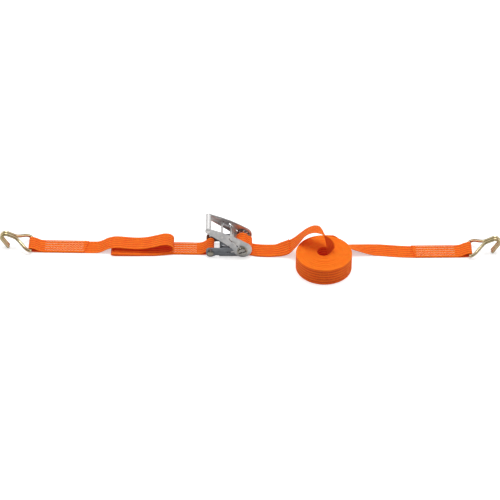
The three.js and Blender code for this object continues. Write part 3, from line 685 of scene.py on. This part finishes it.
RIGHT_LOOP = [
    (443, FLAT_Z), (480, FLAT_Z), (520, FLAT_Z), (550, FLAT_Z), (570, FLAT_Z), (586, 2.3),
    *arc(HOOK_BAR, HOOK_LOOP_RADIUS, -95, 106),
    (585, 11.2), (574, 5.6), (564, SEWN_Z + 0.1), (540, SEWN_Z), (500, SEWN_Z), (460, SEWN_Z),
    (RIGHT_SEWN[0], SEWN_Z),
]


def polar(angle, radius):
    """A place in the X-Z plane about the drum's axis."""
    return (AXIS[0] + radius * math.cos(angle), AXIS[2] + radius * math.sin(angle))


def across_y(x, y, z):
    """A row of rails for a strap that lies square to Y."""
    return (x, y - HALF_WIDTH, z, x, y + HALF_WIDTH, z, 0, 0, 0)


def about_drum(places):
    """Rails through angles in degrees and radii about the drum's axis."""
    rows = []
    for angle, radius in places:
        x, z = polar(math.radians(angle), radius)
        rows.append(across_y(x, AXIS[1] - 0.3, z))
    return rows


def drum_exit():
    """Rails from the left of the drum's winding, under it, and out along the flat."""
    return about_drum(DRUM_WRAP) + [across_y(*point) for point in EXIT_CENTRE]


def spiral():
    """Rails of the rolled webbing on its edge, clockwise from the hole to the outside, a little uneven."""
    rows = []
    for turned_by in np.arange(0.0, ROLL_SWEEP + 0.1, ROLL_SWEEP / ROLL_STATIONS):
        share = turned_by / ROLL_SWEEP
        angle = math.radians(ROLL_FIRST_ANGLE - turned_by)
        radius = ROLL_FIRST_RADIUS + (ROLL_LAST_RADIUS - ROLL_FIRST_RADIUS) * share
        centre = ROLL_HOLE + (ROLL_CENTRE - ROLL_HOLE) * min(1.0, share * 1.15)
        radius += 0.05 * math.sin(2.3 * angle) + 0.04 * math.sin(0.71 * angle)
        ease = min(1.0, share * 12, (1 - share) * 12)
        lift = ease * (0.28 * math.sin(0.37 * angle) + 0.22 * math.sin(0.143 * angle + 1.0)
                       + 0.12 * math.sin(1.9 * angle))
        x = centre[0] + radius * math.cos(angle)
        y = centre[1] + radius * math.sin(angle)
        bottom = ROLL_BOTTOM + lift * 0.8 - 0.45 * (1 - ease)
        rows.append((x, y, ROLL_TOP + lift, x, y, bottom, 0, 0, 0))
    return rows


def long_strap_rails():
    """Rails of the long strap from the drum to its cut end on the right hook's loop."""
    rows = drum_exit()
    rows += [(*near, *far, 0, 0, 0) for near, far in ARCH]
    rows += [(*near, *far, *bow) for near, far, bow in PLUNGE]
    rows += spiral()
    rows += [(*near, *far, 0, 0, 0) for near, far in TURN]
    rows += [across_y(x, right_loop_y(x), z) for x, z in RIGHT_LOOP]
    return smooth(rows, STATION * math.sqrt(2))


def drum_tuck(rails):
    """0 where the strap starts inside the drum's winding, 1 where it has come clear of it."""
    middle = (rails[:, 0:3] + rails[:, 3:6]) / 2
    run = np.concatenate([[0], np.cumsum(np.linalg.norm(np.diff(middle, axis=0), axis=1))])
    return np.clip(run / DRUM_TUCK, 0.0, 1.0)


def make_long_strap():
    rails = slant_end(long_strap_rails(), 30.0, near_shift=-6.0, far_shift=3.0)
    middle_x = (rails[:, 0] + rails[:, 3]) / 2
    arch_top = int(np.argmax(rails[:, 2]))
    before_arch = np.arange(len(rails)) < arch_top
    under_tail = np.clip((TAIL_END_X - middle_x) / TAIL_EASE, 0, 1)
    lift = np.where(before_arch, -LAYER_PITCH / 2 * under_tail, 0.0)
    lift *= drum_tuck(rails)
    strap, length = build_strap("long_strap_webbing", rails, lift)
    adopt(strap, "frame", "webbing", "long_strap", "strap_roll", "long_strap_end")
    return strap, length


def make_strap_tail():
    rows = drum_exit() + [(*near, *far, 0, 0, 0) for near, far in ARCH[:2]]
    rows.append((107, -34.9, 18.0, 107, 14.4, 25.4, 0, 0, 0))
    rails = smooth(rows, STATION)
    strap, length = build_strap("strap_tail_webbing", rails, LAYER_PITCH / 2 * drum_tuck(rails))
    adopt(strap, "frame", "webbing", "long_strap_tail")
    return strap, length


def make_loose_turn():
    """The slack turn right of the drum."""
    strap, length = build_strap("loose_turn_webbing", smooth(about_drum(LOOSE_TURN), DRUM_STATION))
    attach(strap, "frame")
    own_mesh(strap)
    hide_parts("loose_turn")
    return strap, length


def make_short_strap():
    rails = flat_rails(SHORT_STRAP, short_strap_y)
    lower = rails[:, 2] < FOLD_MIDDLE_Z
    drift = np.where(lower, fold_drift(rails[:, 0]), 0.0)
    rails[:, 1] -= drift
    rails[:, 4] -= drift
    room = np.maximum(rails[:, 2] - FOLD_REST_Z, 0.0)
    droop = np.minimum(np.interp(rails[:, 0], *zip(*FOLD_DROOP)), room)
    rails[:, 2] -= np.where(lower, droop, 0.0)
    slant_end(rails, 30.0, near_shift=-10.0, far_shift=0.0, at_start=True)
    strap, length = build_strap("short_strap_webbing", rails)
    adopt(strap, "frame", "webbing", "short_strap")
    return strap, length


def drum_middle(x):
    """Middle of the webbing on the drum, the same at every x."""
    return np.full_like(x, AXIS[1])


def make_drum_pack():
    """Turns of webbing wound on the drum, from the inside out, and then the layer through its slot."""
    pieces = []
    for number, radius in enumerate(PACK_LAYERS):
        ring = [polar(a, radius) for a in np.linspace(0, 2 * math.pi, 25) + 0.3 * number]
        rails = flat_rails(ring, drum_middle, DRUM_STATION)
        pieces.append(build_strap(f"drum_winding_{number + 1}", rails)[0])
    reach = PACK_LAYERS[0] - THICKNESS
    along = np.array([math.cos(DRUM_SLOT_ANGLE), math.sin(DRUM_SLOT_ANGLE)])
    line = [np.array([AXIS[0], AXIS[2]]) + along * share * reach for share in (-1, -0.5, 0, 0.5, 1)]
    pieces.append(build_strap("drum_slot_layer", flat_rails(line, drum_middle, DRUM_STATION))[0])
    return pieces


def stitch_path(sewn, centre_y, row, height, rise):
    """One zigzag of thread: its height waves by rise, so that it dives into the webbing."""
    count = int((sewn[1] - sewn[0] - 2 * STITCH_MARGIN) / STITCH_PITCH)
    steps = np.arange(count * STITCH_SAMPLES + 1) / STITCH_SAMPLES
    x = sewn[0] + STITCH_MARGIN + steps * STITCH_PITCH
    side = STITCH_SIDE * np.sin(math.pi * steps)
    return np.stack([x, centre_y(x) + row + side, height + rise * np.cos(2 * math.pi * steps)], axis=1)


def stitch_rows(name, sewn, centre_y):
    """Rows of thread through two layers of webbing, seen on both faces."""
    top = SEWN_Z + THICKNESS / 2 + 0.1
    bottom = FLAT_Z - THICKNESS / 2 + 0.2
    paths = []
    for row in STITCH_ROWS:
        paths.append(stitch_path(sewn, centre_y, row, top, STITCH_RISE))
        paths.append(stitch_path(sewn, centre_y, row, bottom, -STITCH_RISE))
    pieces = [sweep(f"{name}_{index + 1}", path, THREAD_RADIUS, 6, THREAD)
              for index, path in enumerate(paths)]
    return merge(name, pieces)


def merge(name, pieces):
    """One object from several."""
    whole = bmesh.new()
    material = pieces[0].data.materials[0]
    for piece in pieces:
        whole.from_mesh(piece.data)
        bpy.data.objects.remove(piece)
    mesh = bpy.data.meshes.new(name)
    whole.to_mesh(mesh)
    whole.free()
    finish_mesh(mesh, material, 60.0)
    merged = bpy.data.objects.new(name, mesh)
    bpy.context.scene.collection.objects.link(merged)
    return merged


long_strap, long_length = make_long_strap()
tail, tail_length = make_strap_tail()
loose_turn, loose_length = make_loose_turn()
short_strap, short_length = make_short_strap()
windings = make_drum_pack()

STITCHES = [
    ("left_stitching", (LEFT_SEWN[0] + 4, LEFT_SEWN[1] - 9), short_strap_y),
    ("buckle_stitching", (BUCKLE_SEWN[0] + 2, BUCKLE_SEWN[1] - 2), sewn_strap_y),
    ("right_stitching", (RIGHT_SEWN[0] + 6, RIGHT_SEWN[1] - 4), right_loop_y),
]
for stitch_name, sewn_span, middle_of in STITCHES:
    rows_of_thread = stitch_rows(stitch_name, sewn_span, middle_of)
    adopt(rows_of_thread, "frame", "webbing")

for winding in windings:
    adopt(winding, "drum", "webbing")
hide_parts("drum_webbing")


# -------------------------------------------------------------------- hooks

def hook_half(sign):
    """Half of a double J hook from its base bar to its tip: distance out, across, up."""
    corner = [(0, 8, 9), (0, 16, 9), (0, 21.5, 9), (0.1, 25, 9.1), (1.6, 29.4, 10)]
    leg = [(6, 31, 12.4), (13, 29.2, 17), (24, 19, 23.8), (33, 10.4, 29.4), (41, 5.2, 34.4)]
    bend = [(x, 4.8, z) for x, z in arc((68, 35), 12, 121.5, -31.5, 14)]
    tip = [(70.25, 4.8, 15.65), (62.3, 4.8, 2.6)]
    return [(out, sign * across, up) for out, across, up in corner + leg + bend + tip]


def make_hook(side, outward, centre_y):
    points = hook_half(-1)[::-1] + [(0, 0, 9)] + hook_half(1)
    route = [(outward * (HOOK_BAR[0] + out), centre_y + across, up) for out, across, up in points]
    hook = sweep(f"{side}_hook_wire", smooth(route, 1.6), HOOK_WIRE, 32, YELLOW_ZINC, tip=0.7)
    adopt(hook, f"hook_{side}", "yellow_zinc", f"hook_{side}")


make_hook("left", -1, LEFT_HOOK_Y)
make_hook("right", 1, RIGHT_HOOK_Y)


# ------------------------------------------------------------------ ratchet

def handle_point(along, across):
    """A place in the X-Z plane from distances along and across the handle, from the drum's axis."""
    return (AXIS[0] - along * math.cos(HANDLE_ANGLE) + across * math.sin(HANDLE_ANGLE),
            AXIS[2] + along * math.sin(HANDLE_ANGLE) + across * math.cos(HANDLE_ANGLE))


GRIP = handle_point(*GRIP_PLACE)
SPACER = handle_point(*SPACER_PLACE)

SOFTENED = [
    ("frame", "frame", SHADED_FRAME_ZINC, "zinc_steel", 0.45),
    ("handle_plate_near", "handle", HANDLE_ZINC, "zinc_steel", 0.45),
    ("handle_plate_far", "handle", HANDLE_ZINC, "zinc_steel", 0.45),
    ("ratchet_wheel_near", "drum", LIT_PART_ZINC, "zinc_steel", 0.3),
    ("ratchet_wheel_far", "drum", LIT_PART_ZINC, "zinc_steel", 0.3),
    ("drum_half_a", "drum", DRUM_STEEL, "zinc_steel", 0.3),
    ("drum_half_b", "drum", DRUM_STEEL, "zinc_steel", 0.3),
    ("drum_washer_near", "drum", WORN_ZINC, "yellow_zinc", 0.25),
    ("drum_washer_far", "drum", WORN_ZINC, "yellow_zinc", 0.25),
    ("drive_pawl", "drive_pawl", LIT_PART_ZINC, "zinc_steel", 0.3),
    ("lock_pawl", "lock_pawl", LIT_PART_ZINC, "zinc_steel", 0.3),
    ("strap_bolt_nut", "frame", WORN_ZINC, "yellow_zinc", 0.35),
    ("grip_nut", "handle", LIT_PART_ZINC, "zinc_steel", 0.3),
]
for node_name, body_name, node_material, slot_name, edge_width in SOFTENED:
    adopt(softened(node_name, node_material, edge_width), body_name, slot_name, node_name)


def domed(head_y, head_radius, dome, under_y):
    """Profile of a round head from its top to the underside: a dome with a soft rim."""
    rows = []
    for step in range(6):
        angle = QUARTER * step / 5
        rows.append((head_y + dome * (1 - math.cos(angle)), max(0.2, head_radius * math.sin(angle) * 0.94)))
    return rows + [(head_y + dome + 0.4, head_radius), (under_y, head_radius)]


def make_fasteners():
    """Bolts, sleeve, grip tube and spacer bar, each from its profile of (y, radius)."""
    strap_bolt = [*domed(-36.4, 8, 1.8, -32.1), (-32.1, 4), (37.2, 4), (37.8, 3.4)]
    adopt(turned("strap_bolt_turned", BOLT, strap_bolt, WORN_ZINC), "frame", "yellow_zinc", "strap_bolt")
    sleeve = [(-28.9, 4.4), (-28.9, 6.4), (-28.3, 7), (28.3, 7), (28.9, 6.4), (28.9, 4.4)]
    adopt(turned("bolt_sleeve_turned", BOLT, sleeve, LIT_PART_ZINC, closed=True), "frame", "zinc_steel",
          "bolt_sleeve")
    grip = [(-31.8, 6.2), (-31.8, 7.1), (-31.1, 7.8), (31.1, 7.8), (31.8, 7.1), (31.8, 6.2),
            (30, 6), (-30, 6)]
    adopt(turned("grip_tube_turned", GRIP, grip, GRIP_METAL, closed=True), "handle", "grip_metal",
          "grip_tube")
    grip_bolt = [*domed(-37.4, 5, 1.3, -34.9), (-34.9, 3), (37.8, 3), (38.4, 2.4)]
    adopt(turned("grip_bolt_turned", GRIP, grip_bolt, LIT_PART_ZINC), "handle", "zinc_steel", "grip_bolt")
    rivet_head = domed(-36.5, 3.9, 1.0, -34.9)
    spacer = [*rivet_head, (-34.9, 2.75), (34.9, 2.75), *[(-y, radius) for y, radius in rivet_head[::-1]]]
    adopt(turned("spacer_bar_turned", SPACER, spacer, LIT_PART_ZINC), "handle", "zinc_steel", "spacer_bar")


def make_cotter(side, sign):
    """A split pin: two legs through the drum and a round eye outside it."""
    angle = DRUM_SLOT_ANGLE + QUARTER
    out = np.array([math.cos(angle), 0.0, math.sin(angle)])
    across = np.array([0.0, 1.0, 0.0])
    centre = np.array([AXIS[0], AXIS[1] + sign * COTTER_Y, AXIS[2]])
    rows = [(-14.6, -0.75), (-8, -0.75), (0, -0.75), (8, -0.75), (11.6, -0.75)]
    rows += [(15.2 + 2.6 * math.cos(a), 2.6 * math.sin(a)) for a in np.radians(np.arange(-125, 126, 25))]
    rows += [(11.6, 0.75), (8, 0.75), (0, 0.75), (-8, 0.75), (-13.2, 0.75)]
    path = [centre + out * along + across * offset for along, offset in smooth(rows, 1.0)]
    pin = sweep(f"cotter_pin_{side}_wire", path, COTTER_WIRE, 12, LIT_PART_ZINC, tip=0.2)
    adopt(pin, "drum", "yellow_zinc", f"cotter_pin_{side}")


def helix(start, end, radius, turns):
    """A compression spring's wire: its end turns lie closed, the rest are evenly pitched."""
    start, end = np.asarray(start, float), np.asarray(end, float)
    along = end - start
    length = np.linalg.norm(along)
    along /= length
    side = np.cross(along, (0.0, 1.0, 0.0))
    side /= np.linalg.norm(side)
    other = np.cross(along, side)
    rows = []
    for step in np.arange(0, turns * 20 + 1) / 20:
        if step < CLOSED_TURNS:
            reach = CLOSED_PITCH * step
        elif step > turns - CLOSED_TURNS:
            reach = length - CLOSED_PITCH * (turns - step)
        else:
            share = (step - CLOSED_TURNS) / (turns - 2 * CLOSED_TURNS)
            reach = CLOSED_PITCH * CLOSED_TURNS + share * (length - 2 * CLOSED_PITCH * CLOSED_TURNS)
        angle = 2 * math.pi * step
        rows.append(start + along * reach + radius * (math.cos(angle) * side + math.sin(angle) * other))
    return rows


def spring_ends(first, second, first_gap, second_gap):
    """The two ends of a spring between two places in the X-Z plane, clear of what it bears on."""
    first, second = np.array(first), np.array(second)
    along = (second - first) / np.linalg.norm(second - first)
    return first + along * first_gap, second - along * second_gap


def to_3d(point, y):
    """A place in the X-Z plane, at y from the middle of the ratchet."""
    return (point[0], AXIS[1] + y, point[1])


def make_spring(node, start, end, radius, turns):
    """A wound spring's wire from one place to another."""
    spring = sweep(f"{node}_wire", helix(start, end, radius, turns), SPRING_WIRE, 8, SPRING_STEEL)
    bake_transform(spring)
    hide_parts(node)


def make_springs():
    spacer_end, pull_end = spring_ends(SPACER, polar(DRIVE_ANGLE, DRIVE_REAR), 3.6, 3.8)
    for side, y in (("near", -24.0), ("far", 24.0)):
        make_spring(f"drive_spring_{side}", to_3d(spacer_end, y),
                    to_3d(pull_end, y), DRIVE_SPRING_RADIUS, DRIVE_SPRING_TURNS)
    frame_end, pawl_end = [polar(LOCK_ANGLE, LOCK_REAR + gap) for gap in LOCK_SPRING_SPAN]
    make_spring("lock_spring", to_3d(frame_end, 0.0), to_3d(pawl_end, 0.0),
                LOCK_SPRING_RADIUS, LOCK_SPRING_TURNS)


make_fasteners()
make_cotter("near", -1)
make_cotter("far", 1)
make_springs()


# ------------------------------------------------------- floor and lighting

def make_floor():
    """A plain floor that reaches out of every view, in metres."""
    size = 12.0
    mesh = bpy.data.meshes.new("floor")
    corners = [(-size, -size, 0), (size, -size, 0), (size, size, 0), (-size, size, 0)]
    mesh.from_pydata(corners, [], [(0, 1, 2, 3)])
    mesh.materials.append(floor_material())
    floor = bpy.data.objects.new("floor", mesh)
    bpy.context.scene.collection.objects.link(floor)


def make_sun(name, direction, strength, spread):
    """Soft white light from a direction; the spread is its width in degrees."""
    data = bpy.data.lights.new(name, "SUN")
    data.energy = strength
    data.angle = math.radians(spread)
    light = bpy.data.objects.new(name, data)
    light.rotation_euler = Vector(direction).to_track_quat("Z", "Y").to_euler()
    bpy.context.scene.collection.objects.link(light)


def make_world():
    """Studio walls and ceiling that light the object, and a plain white backdrop for the camera."""
    world = bpy.data.worlds.new("studio")
    world.use_nodes = True
    bpy.context.scene.world = world
    tree = world.node_tree
    background = tree.nodes["Background"]
    background.inputs["Color"].default_value = (1.0, 1.0, 1.0, 1.0)
    direction = tree.nodes.new("ShaderNodeTexCoord")
    parts = tree.nodes.new("ShaderNodeSeparateXYZ")
    tree.links.new(direction.outputs["Generated"], parts.inputs[0])

    def math_node(operation, first, second):
        node = tree.nodes.new("ShaderNodeMath")
        node.operation = operation
        for socket, value in zip(node.inputs, (first, second)):
            if isinstance(value, bpy.types.NodeSocket):
                tree.links.new(value, socket)
            else:
                socket.default_value = value
        return node.outputs[0]

    def range_node(value, low, high, to_low, to_high):
        node = tree.nodes.new("ShaderNodeMapRange")
        node.interpolation_type = "SMOOTHSTEP"
        tree.links.new(value, node.inputs["Value"])
        for key, number in (("From Min", low), ("From Max", high), ("To Min", to_low), ("To Max", to_high)):
            node.inputs[key].default_value = number
        return node.outputs[0]

    top = range_node(parts.outputs[2], 0.3, 0.7, 0.0, TOP_GLOW)
    sides = range_node(math_node("ABSOLUTE", parts.outputs[0], 0.0), 0.6, 0.9, 0.0, SIDE_GLOW)
    walls = range_node(parts.outputs[1], -0.5, 0.5, FRONT_GLOW, BACK_GLOW)
    total = math_node("ADD", math_node("ADD", top, sides), walls)
    seen = tree.nodes.new("ShaderNodeLightPath")
    backdrop = math_node("MULTIPLY", seen.outputs["Is Camera Ray"], BACKDROP)
    rest = math_node("MULTIPLY", total, math_node("SUBTRACT", 1.0, seen.outputs["Is Camera Ray"]))
    tree.links.new(math_node("ADD", backdrop, rest), background.inputs["Strength"])


make_floor()
make_sun("top_light", (0.05, 0.2, 1.0), 1.45, 30)
make_sun("left_light", (-1.0, -0.05, 0.35), 0.4, 40)
make_sun("right_light", (1.0, -0.05, 0.35), 0.45, 40)
make_world()
bpy.context.scene.view_settings.view_transform = "Standard"
